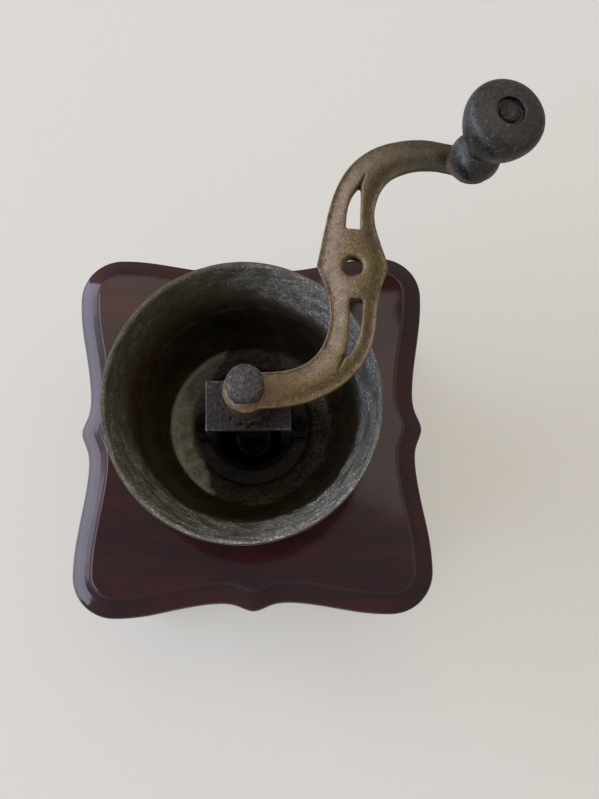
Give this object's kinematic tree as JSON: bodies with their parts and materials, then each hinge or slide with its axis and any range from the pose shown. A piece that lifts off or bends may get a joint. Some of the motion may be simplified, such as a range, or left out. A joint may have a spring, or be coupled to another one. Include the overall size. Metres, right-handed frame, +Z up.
{
  "type": "manual coffee grinder",
  "caption": "Box coffee mill with scalloped wooden boards, an open cast bowl, an S-shaped crank with a turned knob, conical burrs and a drawer for the grounds.",
  "frame": {"origin": "centre of the felt's underside, on the table under the shaft", "axes": "+Z up along the shaft, drawer opens towards -Y, +X to the right when the drawer faces the user"},
  "size_m": [0.2007, 0.1993, 0.2387],
  "materials": {
    "felt": "green-black felt",
    "board_wood": "dark mahogany stain under gloss lacquer",
    "box_wood": "dark mahogany stain under gloss lacquer",
    "plain_wood": "plain planed wood",
    "knob_wood": "turned wood, black lacquer, worn matt",
    "bowl_iron": "cast, oiled, dark olive",
    "cast_iron": "as cast, black",
    "bridge_iron": "dark worn iron",
    "cap_iron": "hammered dark iron",
    "crank_bronze": "antique brass casting, dull",
    "bronze": "sintered bronze",
    "shaft_steel": "turned",
    "burr_steel": "hardened, machined",
    "spring_steel": "drawn wire",
    "screw_steel": "plain"
  },
  "bodies": {
    "case": {"felt_sheet": "felt", "base_board": "board_wood", "base_screws": "screw_steel", "left_wall": "box_wood", "right_wall": "box_wood", "back_wall": "box_wood", "front_rail": "box_wood", "glue_blocks": "plain_wood", "left_runner": "plain_wood", "right_runner": "plain_wood", "top_board": "board_wood", "hopper_bowl": "bowl_iron", "hopper_screws": "screw_steel", "burr_housing": "cast_iron", "housing_screws": "screw_steel", "outer_burr": "burr_steel", "bridge": "bridge_iron", "bridge_screws": "screw_steel", "upper_bush": "bronze", "lower_bracket": "bridge_iron", "bracket_screws": "screw_steel", "lower_bush": "bronze"},
    "lock": {"lock_washer": "screw_steel"},
    "adjuster": {"adjusting_nut": "bridge_iron"},
    "spindle": {"shaft": "shaft_steel", "inner_burr": "burr_steel", "burr_washer": "screw_steel", "burr_nut": "screw_steel", "spring": "spring_steel", "spring_washer": "screw_steel", "spring_clip": "spring_steel", "crank_arm": "crank_bronze", "cap_nut": "cap_iron", "knob_pin": "cap_iron"},
    "knob": {"knob": "knob_wood"},
    "drawer": {"drawer_front": "box_wood", "drawer_left_side": "plain_wood", "drawer_right_side": "plain_wood", "drawer_back": "plain_wood", "drawer_bottom": "plain_wood", "drawer_knob": "knob_wood", "drawer_knob_screw": "screw_steel"}
  },
  "joints": [
    {"name": "crank_spin", "type": "hinge", "parent": "case", "child": "lock", "pos_m": [0, 0, 0.18], "axis": [0, 0, 1], "continuous": true},
    {"name": "grind_set", "type": "hinge", "parent": "lock", "child": "adjuster", "pos_m": [0, 0, 0.17], "axis": [0, 0, -1], "range_deg": [0, 540]},
    {"name": "burr_lift", "type": "slide", "parent": "lock", "child": "spindle", "axis": [0, 0, 1], "range_m": [0, 0.0015], "deforming": ["spring"]},
    {"name": "knob_spin", "type": "hinge", "parent": "spindle", "child": "knob", "pos_m": [0.09496, 0.09596, 0.1943], "axis": [0.165, 0, 0.9863], "continuous": true},
    {"name": "drawer_slide", "type": "slide", "parent": "case", "child": "drawer", "axis": [0, -1, 0], "range_m": [0, 0.105]}
  ],
  "couplings": [
    {"joint": "grind_set", "follows": "burr_lift", "rad_per_m": 6283.2}
  ]
}
